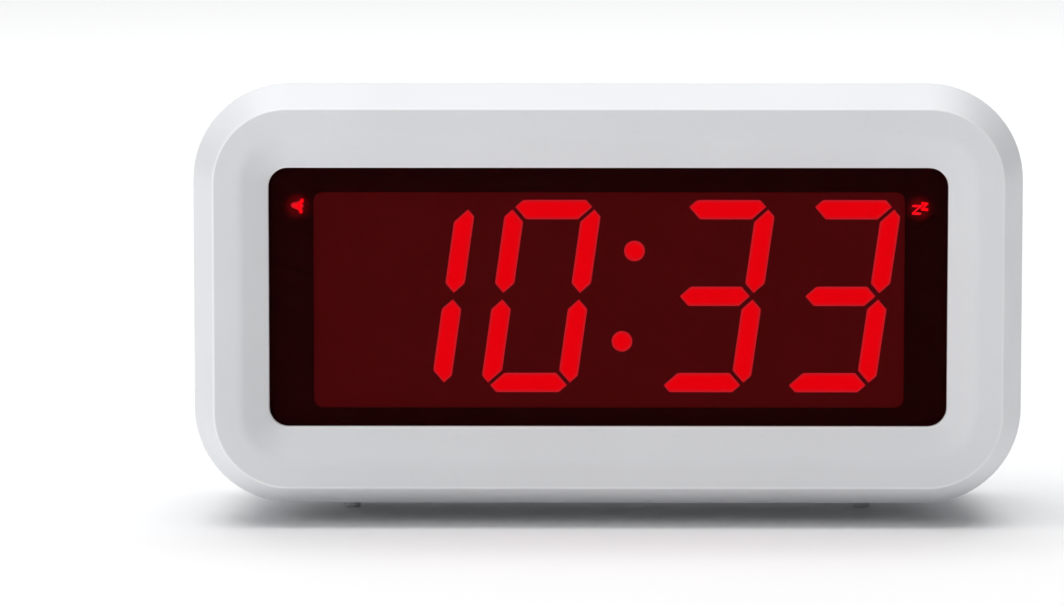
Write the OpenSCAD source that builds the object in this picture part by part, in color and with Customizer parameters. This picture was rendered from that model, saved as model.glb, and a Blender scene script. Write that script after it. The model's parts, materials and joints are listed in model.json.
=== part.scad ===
// Desk alarm clock with a red four-digit display, run from four AA cells.
// X is to the right seen from the front, the front faces -Y and Z is up. The origin is on the
// surface that the feet stand on, below the middle of the body.

/* [Body] */
// Overall width
body_w = 129.5; // [126:0.5:170]
// Height of the shells, without the feet
body_h = 66; // [66:0.5:90]
// Depth from the front ridge to the rear face
body_d = 43; // [43:0.5:60]
// Corner radius at the parting line
corner_r = 15; // [13:0.5:18]
// Thickness of the shell walls
wall = 2.1; // [1.6:0.05:2.6]
// Draft of the rear shell, in degrees
rear_taper = 4.5; // [2:0.25:6]
// Radius of the rear edge
rear_edge_r = 3; // [2.4:0.1:4]
// Height of the body above the surface
foot_drop = 3.1; // [1.5:0.1:6]

/* [Front] */
// How far the front edge leans in
chamfer_in = 3.4; // [2:0.1:4.5]
// Depth of the leaning front edge
chamfer_d = 8; // [7:0.25:9]
// Width of the flat band inside the ridge
band_w = 4.2; // [3:0.1:5]
// Fall of the flat band towards the display
band_fall = 0.4; // [0.2:0.05:0.8]
// Width of the display window
window_w = 105.6; // [100:0.2:106]
// Height of the display window
window_h = 40.5; // [38:0.1:41]
// Corner radius of the window
window_r = 3; // [1.5:0.25:4]
// Depth of the window edge behind the ridge
window_depth = 2.6; // [2.2:0.1:3.2]
// Thickness of the lip in front of the lens
lip_t = 1; // [0.8:0.1:1.4]

/* [Display] */
// Lens edge hidden behind the lip, each side
lens_margin = 1.5; // [1:0.1:1.6]
// Lens thickness
lens_t = 1.5; // [1:0.1:2]
// Thickness of the black mask film
film_t = 0.25; // [0.15:0.05:0.4]
// Width of the opening in the mask
panel_w = 92.1; // [88:0.1:93]
// Height of the opening in the mask
panel_h = 33.8; // [32:0.1:36]
// Digit width across the strokes
digit_w = 15; // [12:0.1:15.5]
// Digit height
digit_h = 30.2; // [25:0.1:31]
// Width of one stroke
stroke = 3.05; // [2:0.05:3.6]
// Slant of the digits, in degrees
slant = 8; // [0:0.5:10]
// Depth of the display housing
housing_t = 7; // [6:0.25:7.5]

/* [Boards] */
// Width of the main board
board_w = 121; // [118:0.5:121.5]
// Height of the main board
board_h = 39; // [36:0.5:39]
// Thickness of every circuit board
board_t = 1.6; // [1:0.1:1.8]

/* [Controls] */
// Radius of a rear button
button_r = 3.5; // [2.5:0.1:4.2]
// Travel of a rear button
button_travel = 0.5; // [0.3:0.05:0.6]
// Travel of the alarm switch
slide_travel = 3; // [2:0.1:4]
// Running clearance round buttons and stems
fit = 0.1; // [0.05:0.01:0.15]
// Length of the snooze bar
snooze_w = 48; // [30:1:50]
// Depth of the snooze bar
snooze_d = 12; // [8:0.5:13]
// Travel of the snooze bar
snooze_travel = 1; // [0.5:0.1:1.1]
// Gap round the snooze bar
snooze_gap = 0.25; // [0.15:0.05:0.4]

/* [Power] */
// Radius of one cell
cell_r = 7.25; // [6:0.05:7.25]
// Length of one cell
cell_len = 50.5; // [44:0.1:50.5]
// Walls of the battery compartment
box_wall = 1.5; // [1.2:0.05:1.6]
// Thickness of the battery door
door_t = 1.8; // [1.5:0.05:1.8]
// Gap round the battery door
door_gap = 0.15; // [0.1:0.05:0.3]
// Wire radius of a contact spring
spring_wire = 0.4; // [0.3:0.05:0.5]

/* [Fasteners and feet] */
// Radius of a case screw's shank
case_screw_r = 1.25; // [1:0.05:1.5]
// Radius of a board screw's shank
board_screw_r = 0.8; // [0.6:0.05:0.9]
// Distance of a foot from the middle
foot_x = 40.7; // [30:0.1:46]
// Radius of a foot where it stands
foot_r = 1.3; // [1.2:0.1:3]

/* [Hidden] */
$fn = 64;
eps = 0.01;

// Body planes and levels, from the front (-Y) to the rear
mid_z = foot_drop + body_h / 2;
y_front = -body_d / 2;
y_rear = body_d / 2;
y_part = y_front + chamfer_d;
y_band = y_front + band_fall;
y_window = y_front + window_depth;
y_lip = y_window + lip_t;
y_skin = y_band + 2;
side_x = body_w / 2 - corner_r;
side_z = body_h / 2 - corner_r;
wall_in = wall / cos(rear_taper);

// Display stack
lens_gap = 0.1;
lens_w = window_w + 2 * lens_margin;
lens_h = window_h + 2 * lens_margin;
lens_r = 2;
pocket_rib = 1.2;
y_film = y_lip + lens_t;
y_display = y_film + film_t + 0.25;
y_board = y_display + housing_t;
y_board_back = y_board + board_t;
panel_x = 0.14;
panel_z = -0.66;
housing_w = panel_w + 1.8;
housing_h = panel_h + 3.1;
digit_x = [-30.26, -10.57, 16.53, 36.12];
digit_z = -0.09;
colon_at = [[3.98, 7.1], [2.05, -7.09]];
colon_r = 1.63;
alarm_icon_at = [-48.63, 14.15];
snooze_icon_at = [48.35, 13.7];
guide_r = snooze_icon_at[0] - housing_w / 2 - 0.1;
chip_t = 0.8;

// Segment letters, a to g, that each shown digit lights
all_segments = [0, 1, 2, 3, 4, 5, 6];
one = [1, 2];
zero = [0, 1, 2, 3, 4, 5];
three = [0, 1, 2, 3, 6];
shown = [one, zero, three, three];

// Main board
post_x = board_w / 2 - 3;
post_z = 15;
post_r = 2.4;
pin_x = [for (i = [0:13]) panel_x + (i - 6.5) * 6.2];
pin_r = 0.3;
pin_hole_r = 0.45;

// Case screws: seats deep in tubes of the rear case
boss_x = body_w / 2 - 17.75;
boss_z = mid_z + body_h / 2 - 8.5;
boss_r = 2.6;
boss_end = y_part + 3.7;
tube_gap = 0.1;
head_r = 2.3;
head_hole_r = 2.5;
tube_r = head_hole_r + 1;
seat_y = boss_end + 3.3;
case_screw_len = 10;

// Rear controls
row_z = mid_z + 15.65;
recess_d = 1.2;
recess_h = 11;
y_recess = y_rear - recess_d;
y_pad = y_recess - 2;
button_proud = 0.8;
flange_t = 1.1;
flange_rim = 0.8;
key_post_r = 2;
button_pitch = 2 * (button_r + flange_rim + key_post_r + 0.2);
alarm_set_x = -31;
time_x = alarm_set_x - button_pitch;
slide_x = -17;
hour_x = 31;
minute_x = hour_x + button_pitch;
recess_left = [time_x - 7, slide_x + 7];
recess_right = [hour_x - 6.5, minute_x + 7];
y_flange = y_pad - 0.3;
switch_h = 3;
switch_w = 6;
stem_r = 1;
stem_in = 1.2;
y_switch = y_flange - flange_t - button_travel - 0.1;
y_key_board = y_switch - switch_h - board_t;
key_board_w = 2 * (minute_x + 6);
key_board_h = 9.6;
key_post_x = [alarm_set_x - button_pitch / 2, -4, hour_x + button_pitch / 2];
buzzer_x = 5;
buzzer_r = 5.5;
buzzer_h = 4.5;
knob_w = 3;
slot_gap = 0.2;
slot_len = knob_w + slide_travel + 2 * slot_gap;

// Snooze bar: sits flush in the sloping top
snooze_y = 4;
snooze_r = 2;
bar_rim = 1.5;
flange_top_z = top_z(snooze_y + snooze_d / 2 + bar_rim) - wall_in - 0.2;
bar_flange_t = 1.2;
snooze_switch_top = flange_top_z - bar_flange_t - snooze_travel - 0.2;
snooze_board_top = snooze_switch_top - 3.5;
snooze_post_x = snooze_w / 2 + 4;
snooze_board_w = 2 * snooze_post_x + 6;
snooze_board_d = 12;

// Battery compartment, behind the rear face
contact_t = 0.4;
contact_half = cell_r - 2.75;
spring_len = 5.8;
contact_gap = 0.05;
box_half = (2 * cell_len + spring_len + 2 * contact_t + 4 * contact_gap) / 2 + 0.05;
row_gap = 0.6;
cell_side = 0.45;
box_z = mid_z - 10.35;
row_offset = cell_r + row_gap / 2;
box_half_z = row_offset + cell_r + cell_side;
y_cell = y_rear - door_t - 0.7 - cell_r;
y_box = y_cell - cell_r - 0.4;
nub_r = 2.7;
nub_len = 1.2;
tag_len = 3.4;
tag_w = 3;
tag_y = y_cell - 1.5;

// Battery door: its lower outer corner is the hinge line
door_w = 2 * box_half + 0.9;
door_h = 2 * box_half_z + 1;
door_z = box_z;
door_foot = door_z - door_h / 2;
door_r = 2;
tab_x = 30;
tab_w = 8;
tab_t = 1.7;
tab_drop = 1.6;
tab_y = y_rear - wall - 0.3;

// Feet and their pegs
foot_top_r = foot_r + 0.6;
foot_front_y = 3;
foot_rear_y = 15.5;
peg_r = 1.2;
peg_len = 1.4;

// Hooks along the bottom of the bezel
hook_x = 35;
hook_w = 7;

// Hand-picked points of the internal leads
lead_r = 0.6;
red_route = [[-56.4, tag_y - 0.05, 0], [-56.6, tag_y - 4, 0], [-57.6, 3, -0.6], [-56.5, -2, -1.4],
    [-53, -5, -2], [-51, y_board_back + 1, -2], [-51, y_board_back + 0.2, -2]];
black_route = [[-56.4, tag_y - 0.05, 0], [-56.6, tag_y - 4, 0], [-57.6, 3, 0.8], [-56.5, -2, 2],
    [-53, -5, 3], [-51, y_board_back + 1, 3], [-51, y_board_back + 0.2, 3]];
snooze_route = [[-20, 2, -0.1], [-20, 2, -1], [-20, 0.8, -3], [-21, -1.5, -5], [-22, -4, -6.4],
    [-22, y_board_back + 1, -6.8], [-22, y_board_back + 0.2, -6.8]];

// Corner radius of the shells at a depth, and the height of their top and bottom there
function front_r(y) = corner_r - chamfer_in * (y_part - y) / chamfer_d;
function rear_r(y) = corner_r - tan(rear_taper) * (y - y_part);
function top_z(y) = mid_z + side_z + rear_r(y);
function bottom_z(y) = mid_z - side_z - rear_r(y);

// ---------- Shared shapes ----------

module round_rect(w, h, r) {
    square([w - 2 * r, h], center = true);
    square([w, h - 2 * r], center = true);
    for (x = [-1, 1], y = [-1, 1]) translate([x * (w / 2 - r), y * (h / 2 - r)]) circle(r);
}

// An outline in the XZ plane, from depth y0 back by t
module sheet(y0, t, x = 0, z = mid_z) {
    translate([x, y0 + t, z]) rotate([90, 0, 0]) linear_extrude(t) children();
}

module slab(w, h, r, y0, t, x = 0, z = mid_z) {
    sheet(y0, t, x, z) round_rect(w, h, r);
}

// A cylinder along Y from y0 to y1
module rod(r, y0, y1, x, z) {
    translate([x, y0, z]) rotate([-90, 0, 0]) cylinder(r = r, h = y1 - y0);
}

// A block given by its middle in X and Z
module block(w, h, y0, y1, x, z) {
    translate([x - w / 2, y0, z - h / 2]) cube([w, y1 - y0, h]);
}

// The section (radius from the corner centres, depth) turned round each corner of the body and run
// straight between them. A filled one also has its middle, from y0 to y1
module round_body(y0, y1, filled = true) {
    translate([0, 0, mid_z]) rotate([-90, 0, 0]) {
        if (filled) translate([-side_x, -side_z, y0]) cube([2 * side_x, 2 * side_z, y1 - y0]);
        for (k = [0:3]) {
            out = k % 2 == 0 ? side_x : side_z;
            along = k % 2 == 0 ? side_z : side_x;
            rotate([0, 0, 90 * k]) translate([out, along, 0]) {
                rotate([90, 0, 0]) linear_extrude(2 * along) children();
                rotate_extrude(angle = 90) children();
            }
        }
    }
}

// Section of the rear shell's outside, with its rear edge rounded
module rear_section() {
    cy = y_rear - rear_edge_r;
    cr = rear_r(cy) - rear_edge_r / cos(rear_taper);
    polygon([[0, y_part], [rear_r(y_part), y_part],
        [cr + rear_edge_r * cos(rear_taper), cy + rear_edge_r * sin(rear_taper)], [cr, y_rear], [0, y_rear]]);
    translate([cr, cy]) circle(rear_edge_r);
}

// The same with square edges, inset from the outside and starting at y0
module inset_section(inset, y0) {
    lean = inset / cos(rear_taper);
    y1 = y_rear - inset;
    polygon([[0, y0], [rear_r(y0) - lean, y0], [rear_r(y1) - lean, y1], [0, y1]]);
}

function unit(v) = v / norm(v);
function tangent(p, i) = unit(p[min(i + 1, len(p) - 1)] - p[max(i - 1, 0)]);
function ring(p, i, r, sides, up) =
    let (t = tangent(p, i), u = unit(cross(t, up)), w = cross(u, t))
    [for (k = [0:sides - 1]) p[i] + r * (cos(360 * k / sides) * u + sin(360 * k / sides) * w)];

// A round bar along a list of points
module bar_along(p, r, sides = 8, up = [0, 0, 1]) {
    n = len(p);
    polyhedron(
        points = [for (i = [0:n - 1]) each ring(p, i, r, sides, up)],
        faces = concat(
            [[for (k = [sides - 1:-1:0]) k]],
            [for (i = [0:n - 2], k = [0:sides - 1]) let (m = (k + 1) % sides)
                [i * sides + k, i * sides + m, (i + 1) * sides + m, (i + 1) * sides + k]],
            [[for (k = [0:sides - 1]) (n - 1) * sides + k]]));
}

// A smooth curve through the points, with steps pieces between each two
function curve_at(a, b, c, d, t) = 0.5 * (2 * b + (c - a) * t + (2 * a - 5 * b + 4 * c - d) * t * t
    + (3 * b - a - 3 * c + d) * t * t * t);
function smooth(p, steps = 4) = concat(
    [for (i = [0:len(p) - 2], s = [0:steps - 1])
        curve_at(p[max(i - 1, 0)], p[i], p[i + 1], p[min(i + 2, len(p) - 1)], s / steps)],
    [p[len(p) - 1]]);
function shifted(p, v) = [for (q = p) q + v];

// ---------- Shells ----------

module dish() {
    band_in = 2 * (chamfer_in + band_w);
    hull() {
        slab(body_w - band_in, body_h - band_in, corner_r - band_in / 2, y_band - eps, eps, $fn = 32);
        slab(window_w, window_h, window_r, y_window, eps, $fn = 32);
    }
}

module lens_pocket() {
    w = lens_w + 2 * lens_gap;
    h = lens_h + 2 * lens_gap;
    difference() {
        slab(w + 2 * pocket_rib, h + 2 * pocket_rib, lens_r + pocket_rib, y_lip - 0.3, lens_t + 0.9);
        slab(w, h, lens_r, y_lip - 1, lens_t + 3);
    }
}

module bezel_skin() {
    difference() {
        round_body(y_band, y_part) polygon([[0, y_band], [front_r(y_front) - band_w, y_band],
            [front_r(y_front), y_front], [corner_r, y_part], [0, y_part]]);
        dish();
        slab(window_w, window_h, window_r, y_window - 1, lip_t + 2);
        round_body(y_lip, y_part + 1) polygon([[0, y_lip], [front_r(y_lip) - wall, y_lip],
            [front_r(y_part + 1) - wall, y_part + 1], [0, y_part + 1]]);
        difference() {
            round_body(y_skin, y_lip + 0.5) polygon([[0, y_skin], [front_r(y_skin) - wall, y_skin],
                [front_r(y_lip + 0.5) - wall, y_lip + 0.5], [0, y_lip + 0.5]]);
            slab(lens_w + 4, lens_h + 5.9, 6, y_skin - 1, 4);
        }
    }
}

module bezel_hook(x) {
    floor_z = bottom_z(y_part) + wall;
    block(hook_w, 1.6, y_part - 3.5, y_part + 4.7, x, floor_z + 1.4);
    block(hook_w, 1.4, y_part + 2.9, y_part + 4.7, x, floor_z + 0.4);
}

module front_bezel() color("whitesmoke") difference() {
    union() {
        bezel_skin();
        lens_pocket();
        for (x = [-1, 1]) {
            for (z = [-1, 1]) rod(post_r, y_skin - 0.5, y_board, x * post_x, mid_z + z * post_z);
            rod(boss_r, y_skin - 0.4, boss_end, x * boss_x, boss_z);
            bezel_hook(x * hook_x);
        }
    }
    for (x = [-1, 1]) {
        for (z = [-1, 1])
            rod(board_screw_r + 0.05, y_board - 6, y_board + 1, x * post_x, mid_z + z * post_z);
        rod(case_screw_r + 0.05, boss_end - 7.5, boss_end + 1, x * boss_x, boss_z);
    }
}

// The lip of the rear case that locates inside the bezel
module locating_tongue() {
    inner = front_r(y_part) - wall - 2;
    play = 0.15;
    difference() {
        round_body(0, 0, filled = false) polygon([[inner, y_part - 2],
            [front_r(y_part - 2) - wall - play, y_part - 2], [front_r(y_part) - wall - play, y_part],
            [corner_r - wall + 0.4, y_part], [corner_r - wall + 0.4, y_part + 2], [inner, y_part + 2]]);
        for (x = [-1, 1])
            block(hook_w + 1, 8, y_part - 4, y_part + 2.1, x * hook_x, bottom_z(y_part) + wall + 2);
    }
}

module battery_box() {
    w = 2 * (box_half + box_wall);
    h = 2 * (box_half_z + box_wall);
    block(w, h, y_box - box_wall, y_rear - 1, 0, box_z);
}

module battery_box_inside() {
    block(2 * box_half, 2 * box_half_z, y_box, y_rear + 1, 0, box_z);
    // slots for the two contact tags
    for (z = [-1, 1])
        block(box_wall + 1, tag_w + 0.4, tag_y - 0.1, tag_y + contact_t + 0.1,
            -box_half - box_wall / 2, box_z + z * row_offset);
    // pockets that the door's lower tabs swing through
    for (x = [-1, 1])
        block(tab_w + 0.8, box_wall + 2, tab_y - tab_t - 1.4, y_rear - door_t,
            x * tab_x, box_z - box_half_z - box_wall / 2 + 0.3);
}

module cell_rest() {
    translate([-box_half, y_box - eps, box_z]) rotate([90, 0, 90])
        linear_extrude(2 * box_half) polygon([[0, -1.6], [2.6, -0.2], [2.6, 0.2], [0, 1.6]]);
}

module stadium(span, h) {
    r = h / 2;
    translate([span[0], 0]) {
        translate([r, -r]) square([span[1] - span[0] - h, h]);
        for (x = [r, span[1] - span[0] - r]) translate([x, 0]) circle(r);
    }
}

module rear_controls_pad() {
    for (s = [recess_left, recess_right])
        sheet(y_pad, 2.2, 0, row_z) stadium([s[0] - 1.5, s[1] + 1.5], recess_h + 3);
    for (x = key_post_x) rod(key_post_r, y_key_board + board_t, y_rear - 1, x, row_z);
}

module rear_controls_cut() {
    for (s = [recess_left, recess_right]) sheet(y_recess, recess_d + 1, 0, row_z) stadium(s, recess_h);
    for (x = [time_x, alarm_set_x, hour_x, minute_x]) rod(button_r + fit, y_pad - 1, y_rear, x, row_z);
    block(slot_len, knob_w + 2 * slot_gap, y_pad - 1, y_rear, slide_x, row_z);
    for (x = key_post_x) rod(board_screw_r + 0.05, y_key_board, y_key_board + board_t + 4, x, row_z);
    rod(0.75, y_rear - 4, y_rear + 1, buzzer_x, row_z);
    for (a = [0:60:300]) rod(0.75, y_rear - 4, y_rear + 1, buzzer_x + 2.7 * cos(a), row_z + 2.7 * sin(a));
}

module snooze_opening() {
    translate([0, snooze_y, mid_z + body_h / 2 - 10]) linear_extrude(20)
        round_rect(snooze_w + 2 * snooze_gap, snooze_d + 2 * snooze_gap, snooze_r + snooze_gap);
}

module rear_case() color("whitesmoke") difference() {
    union() {
        difference() {
            round_body(y_part, y_rear) rear_section();
            round_body(y_part - 1, y_rear - wall) inset_section(wall, y_part - 1);
        }
        locating_tongue();
        intersection() {
            union() {
                battery_box();
                rear_controls_pad();
                for (x = [-1, 1]) {
                    rod(tube_r, boss_end + tube_gap, y_rear - 1, x * boss_x, boss_z);
                    translate([x * snooze_post_x, snooze_y, snooze_board_top])
                        cylinder(r = 2.2, h = top_z(snooze_y) - 1 - snooze_board_top);
                }
            }
            round_body(y_part, y_rear - 1) inset_section(1, y_part);
        }
    }
    difference() {
        battery_box_inside();
        cell_rest();
    }
    slab(door_w + 2 * door_gap, door_h + 2 * door_gap, door_r + door_gap, y_rear - door_t,
        door_t + 1, 0, door_z);
    translate([0, y_rear + 6.8, door_z + door_h / 2 + 0.5]) sphere(8);
    rear_controls_cut();
    snooze_opening();
    for (x = [-1, 1]) {
        rod(head_hole_r, seat_y, y_rear + 1, x * boss_x, boss_z);
        rod(case_screw_r + 0.3, boss_end - 1, seat_y + 1, x * boss_x, boss_z);
        translate([x * snooze_post_x, snooze_y, snooze_board_top - 1])
            cylinder(r = board_screw_r + 0.05, h = 5);
        block(hook_w + 1, 3, y_part + 2.5, y_part + 5.1, x * hook_x, bottom_z(y_part) + wall + 0.95);
        for (y = [foot_front_y, foot_rear_y])
            translate([x * foot_x, y, bottom_z(y) - 1]) cylinder(r = peg_r + 0.03, h = peg_len + 1.1);
    }
}

// ---------- Display ----------

module display_lens() color([0.25, 0.03, 0.05, 0.75]) slab(lens_w, lens_h, lens_r, y_lip, lens_t);

// The outline of the alarm sign, a small bell swung over to the left
module alarm_icon() rotate(84) {
    translate([0, 0.45]) circle(0.45, $fn = 24);
    polygon([[-0.45, 0.45], [-0.86, -0.62], [0.86, -0.62], [0.45, 0.45]]);
    translate([-1.02, -0.84]) square([2.04, 0.26]);
    translate([0, -0.84]) circle(0.26, $fn = 24);
}

// One bar letter Z, w wide and h high
module z_sign(w, h, t) {
    translate([0, h - t]) square([w, t]);
    square([w, t]);
    polygon([[0, t - eps], [t * 1.2, t - eps], [w, h - t + eps], [w - t * 1.2, h - t + eps]]);
}

module snooze_icon() {
    translate([-1.18, -0.95]) z_sign(1.42, 1.55, 0.34);
    translate([0.36, -0.28]) z_sign(0.86, 1.23, 0.28);
}

module at_icon(p, y0, t) {
    sheet(y0, t, panel_x + p[0], mid_z + p[1]) children();
}

module mask_film() color([0.03, 0.03, 0.03]) difference() {
    slab(lens_w, lens_h, lens_r, y_film, film_t);
    slab(panel_w, panel_h, 1.4, y_film - 1, film_t + 2, panel_x, mid_z + panel_z);
    at_icon(alarm_icon_at, y_film - 1, film_t + 2) alarm_icon();
    at_icon(snooze_icon_at, y_film - 1, film_t + 2) snooze_icon();
}

module alarm_indicator() color("red") at_icon(alarm_icon_at, y_film, film_t) alarm_icon();

module snooze_indicator() color("red") at_icon(snooze_icon_at, y_film, film_t) snooze_icon();

module indicator_light_guides() color([0.8, 0.2, 0.2])
    for (p = [alarm_icon_at, snooze_icon_at])
        rod(guide_r, y_film + film_t + 0.05, y_board - chip_t - 0.1, panel_x + p[0], mid_z + p[1]);

// Corner points of the strokes at the upper right of a digit, mirrored for the others
half_w = digit_w / 2;
half_h = digit_h / 2;
in_x = half_w - stroke;
in_z = half_h - stroke;
mitre_gap = 0.39;
corner_line = half_w + half_h - 2.6;
across = half_h - half_w;
top_bar = [[half_h - corner_line, half_h], [corner_line - half_h, half_h],
    [(corner_line - across - mitre_gap) / 2, (corner_line + across + mitre_gap) / 2],
    [in_z - across - mitre_gap, in_z], [across + mitre_gap - in_z, in_z],
    [(across + mitre_gap - corner_line) / 2, (corner_line + across + mitre_gap) / 2]];
side_bar = [[(corner_line - across + mitre_gap) / 2, (corner_line + across - mitre_gap) / 2],
    [half_w, corner_line - half_w], [half_w, 0.5 + stroke / 2], [half_w - stroke / 2, 0.5],
    [in_x, 0.5 + stroke / 2], [in_x, in_x + across - mitre_gap]];
mid_tip = half_w - stroke / 2 - 0.5;
mid_bar = [for (s = [-1, 1]) each [[s * mid_tip, 0], [s * (mid_tip - stroke / 2), s * stroke / 2],
    [-s * (mid_tip - stroke / 2), s * stroke / 2]]];

// Segments a to g: which bar, and how it is mirrored in X and Z
segment_bar = [top_bar, side_bar, side_bar, top_bar, side_bar, side_bar, mid_bar];
segment_flip = [[1, 1], [1, 1], [1, -1], [1, -1], [-1, -1], [-1, 1], [1, 1]];

function leaned(p, f) = [f[0] * p[0] + f[1] * p[1] * tan(slant), f[1] * p[1]];

module segment(s) {
    polygon([for (p = segment_bar[s]) leaned(p, segment_flip[s])]);
}

module segments(digit, list, y0, t) {
    for (s = list) sheet(y0, t, panel_x + digit_x[digit], mid_z + digit_z) segment(s);
}

y_guide_back = y_board - chip_t - 0.3;

module lit_digit(digit) color("red") segments(digit, shown[digit], y_display, y_guide_back - y_display);

module colon(y0, t) {
    for (p = colon_at) rod(colon_r, y0, y0 + t, panel_x + p[0], mid_z + digit_z + p[1]);
}

module display_housing() color([0.06, 0.05, 0.05]) difference() {
    slab(housing_w, housing_h, 1, y_display, housing_t, panel_x);
    for (d = [0:3]) segments(d, all_segments, y_display - 1, housing_t + 2);
    colon(y_display - 1, housing_t + 2);
}

module hours_tens_lit() lit_digit(0);
module hours_units_lit() lit_digit(1);
module minutes_tens_lit() lit_digit(2);
module minutes_units_lit() lit_digit(3);
module colon_dots() color("red") colon(y_display, y_guide_back - y_display);

module unlit_segments() color([0.25, 0.02, 0.03])
    for (d = [0:3]) segments(d, [for (s = all_segments) if (len(search(s, shown[d])) == 0) s],
        y_display, y_guide_back - y_display);

// Where the middle of each segment lies in a digit
function segment_middle(s) =
    let (z = s == 6 ? 0 : s % 3 == 0 ? half_h - stroke / 2 : half_h / 2,
         x = s % 3 == 0 ? 0 : half_w - stroke / 2)
    leaned([x, z], segment_flip[s]);

module led_chips() color("khaki") {
    for (d = [0:3], s = all_segments) {
        m = segment_middle(s);
        block(1.6, 1.2, y_board - chip_t, y_board, panel_x + digit_x[d] + m[0], mid_z + digit_z + m[1]);
    }
    for (p = colon_at) block(1.6, 1.2, y_board - chip_t, y_board, panel_x + p[0], mid_z + digit_z + p[1]);
    for (p = [alarm_icon_at, snooze_icon_at])
        block(1.6, 1.2, y_board - chip_t, y_board, panel_x + p[0], mid_z + p[1]);
}

module display_pins() color("silver")
    for (x = pin_x, z = [-1, 1]) rod(pin_r, y_board, y_board_back + 1.2, x, mid_z + z * pin_z());

function pin_z() = panel_h / 2 + 0.7;

// ---------- Boards ----------

module main_board() color("darkgreen") difference() {
    slab(board_w, board_h, 1, y_board, board_t);
    for (x = [-1, 1], z = [-1, 1])
        rod(board_screw_r + 0.2, y_board - 1, y_board_back + 1, x * post_x, mid_z + z * post_z);
    for (x = pin_x, z = [-1, 1])
        rod(pin_hole_r, y_board - 1, y_board_back + 1, x, mid_z + z * pin_z());
}

module clock_chip() color([0.12, 0.12, 0.13]) {
    x = 12;
    z = mid_z - 2;
    block(12, 8, y_board_back + 0.2, y_board_back + 2.2, x, z);
    for (i = [0:9], s = [-1, 1]) block(0.5, 1.6, y_board_back, y_board_back + 0.8,
        x - 5.4 + 1.2 * i, z + s * 4.6);
}

module quartz_crystal() color("silver") {
    translate([27, y_board_back + 1.3, mid_z - 5]) cylinder(r = 1, h = 6);
    for (s = [-1, 1]) translate([27 + s * 0.5, y_board_back + 1.3, mid_z - 6.5])
        cylinder(r = 0.2, h = 1.6);
}

module storage_capacitor() color("navy") {
    rod(3.15, y_board_back + 0.05, y_board_back + 7, -24, mid_z + 8);
}

module board_resistors() color([0.15, 0.15, 0.16])
    for (i = [0:11]) block(1.25, 2, y_board_back, y_board_back + 0.6, -8 + 2.6 * i, mid_z - 11);

module key_board() color("darkgreen") difference() {
    slab(key_board_w, key_board_h, 1, y_key_board, board_t, 0, row_z);
    for (x = key_post_x) rod(board_screw_r + 0.2, y_key_board - 1, y_switch, x, row_z);
}

module rear_switch_bodies() color([0.1, 0.1, 0.1])
    for (x = [time_x, alarm_set_x, hour_x, minute_x]) difference() {
        block(switch_w, switch_w, y_key_board + board_t, y_switch, x, row_z);
        rod(stem_r + fit, y_switch - stem_in - button_travel - 0.1, y_switch + 1, x, row_z);
    }

module alarm_switch_housing() color("silver") difference() {
    block(slot_len + 3, 7, y_key_board + board_t, y_switch, slide_x, row_z);
    block(slot_len, knob_w - 0.4, y_switch - 2, y_switch + 1, slide_x, row_z);
}

module buzzer() color([0.1, 0.1, 0.1]) difference() {
    rod(buzzer_r, y_key_board + board_t, y_key_board + board_t + buzzer_h, buzzer_x, row_z);
    rod(1, y_key_board + board_t + buzzer_h - 1, y_key_board + board_t + buzzer_h + 1, buzzer_x, row_z);
}

module snooze_board() color("darkgreen")
    translate([0, snooze_y, snooze_board_top - board_t]) difference() {
        linear_extrude(board_t) round_rect(snooze_board_w, snooze_board_d, 1);
        for (x = [-1, 1]) translate([x * snooze_post_x, 0, -1])
            cylinder(r = board_screw_r + 0.2, h = board_t + 2);
    }

module snooze_switch_body() color([0.1, 0.1, 0.1])
    translate([0, snooze_y, snooze_board_top]) difference() {
        translate([-3, -3, 0]) cube([6, 6, snooze_switch_top - snooze_board_top]);
        translate([0, 0, 1.4]) cylinder(r = stem_r + fit, h = 4);
    }

// ---------- Power ----------

// dir is the side that the plus end faces, start the x of the plus end
module cell(start, dir, z) color("dimgray")
    translate([start, y_cell, z]) rotate([0, -dir * 90, 0]) {
        cylinder(r = cell_r, h = cell_len - nub_len);
        translate([0, 0, cell_len - nub_len]) cylinder(r = nub_r, h = nub_len);
    }

first_end = box_half - contact_t - contact_gap * 2;
module battery_cell_1() cell(-first_end + cell_len, 1, box_z + row_offset);
module battery_cell_2() cell(-first_end + 2 * cell_len + contact_gap, 1, box_z + row_offset);
module battery_cell_3() cell(first_end - cell_len, -1, box_z - row_offset);
module battery_cell_4() cell(first_end - 2 * cell_len - contact_gap, -1, box_z - row_offset);

module contact_plate(x, z0, z1) {
    translate([x, y_cell - contact_half, z0]) cube([contact_t, 2 * contact_half, z1 - z0]);
}

module contact_tag(z) {
    translate([-box_half + 0.1 - tag_len, tag_y, z - tag_w / 2]) cube([tag_len, contact_t, tag_w]);
}

module left_contact(z) {
    contact_plate(-box_half + 0.05, z - contact_half, z + contact_half);
    contact_tag(z);
}

module positive_contact() color("silver") left_contact(box_z + row_offset);
module negative_contact() color("silver") left_contact(box_z - row_offset);
module link_contact() color("silver")
    contact_plate(box_half - 0.05 - contact_t, box_z - row_offset - contact_half,
        box_z + row_offset + contact_half);

// A conical coil from the contact at base_x, running dir in X to the end of the cell
module contact_spring(base_x, dir, z) {
    turns = 4;
    steps = 72;
    rise = spring_len - 2 * spring_wire - 0.2;
    bar_along([for (i = [0:steps]) let (f = i / steps, r = contact_half + 0.1 - 1.8 * f, a = 360 * turns * f)
        [base_x + dir * (spring_wire + 0.05 + rise * f), y_cell + r * cos(a), z + r * sin(a)]],
        spring_wire, 8, [1, 0, 0]);
}

module negative_spring() color("silver")
    contact_spring(-box_half + 0.05 + contact_t, 1, box_z - row_offset);
module link_spring() color("silver")
    contact_spring(box_half - 0.05 - contact_t, -1, box_z + row_offset);

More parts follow.
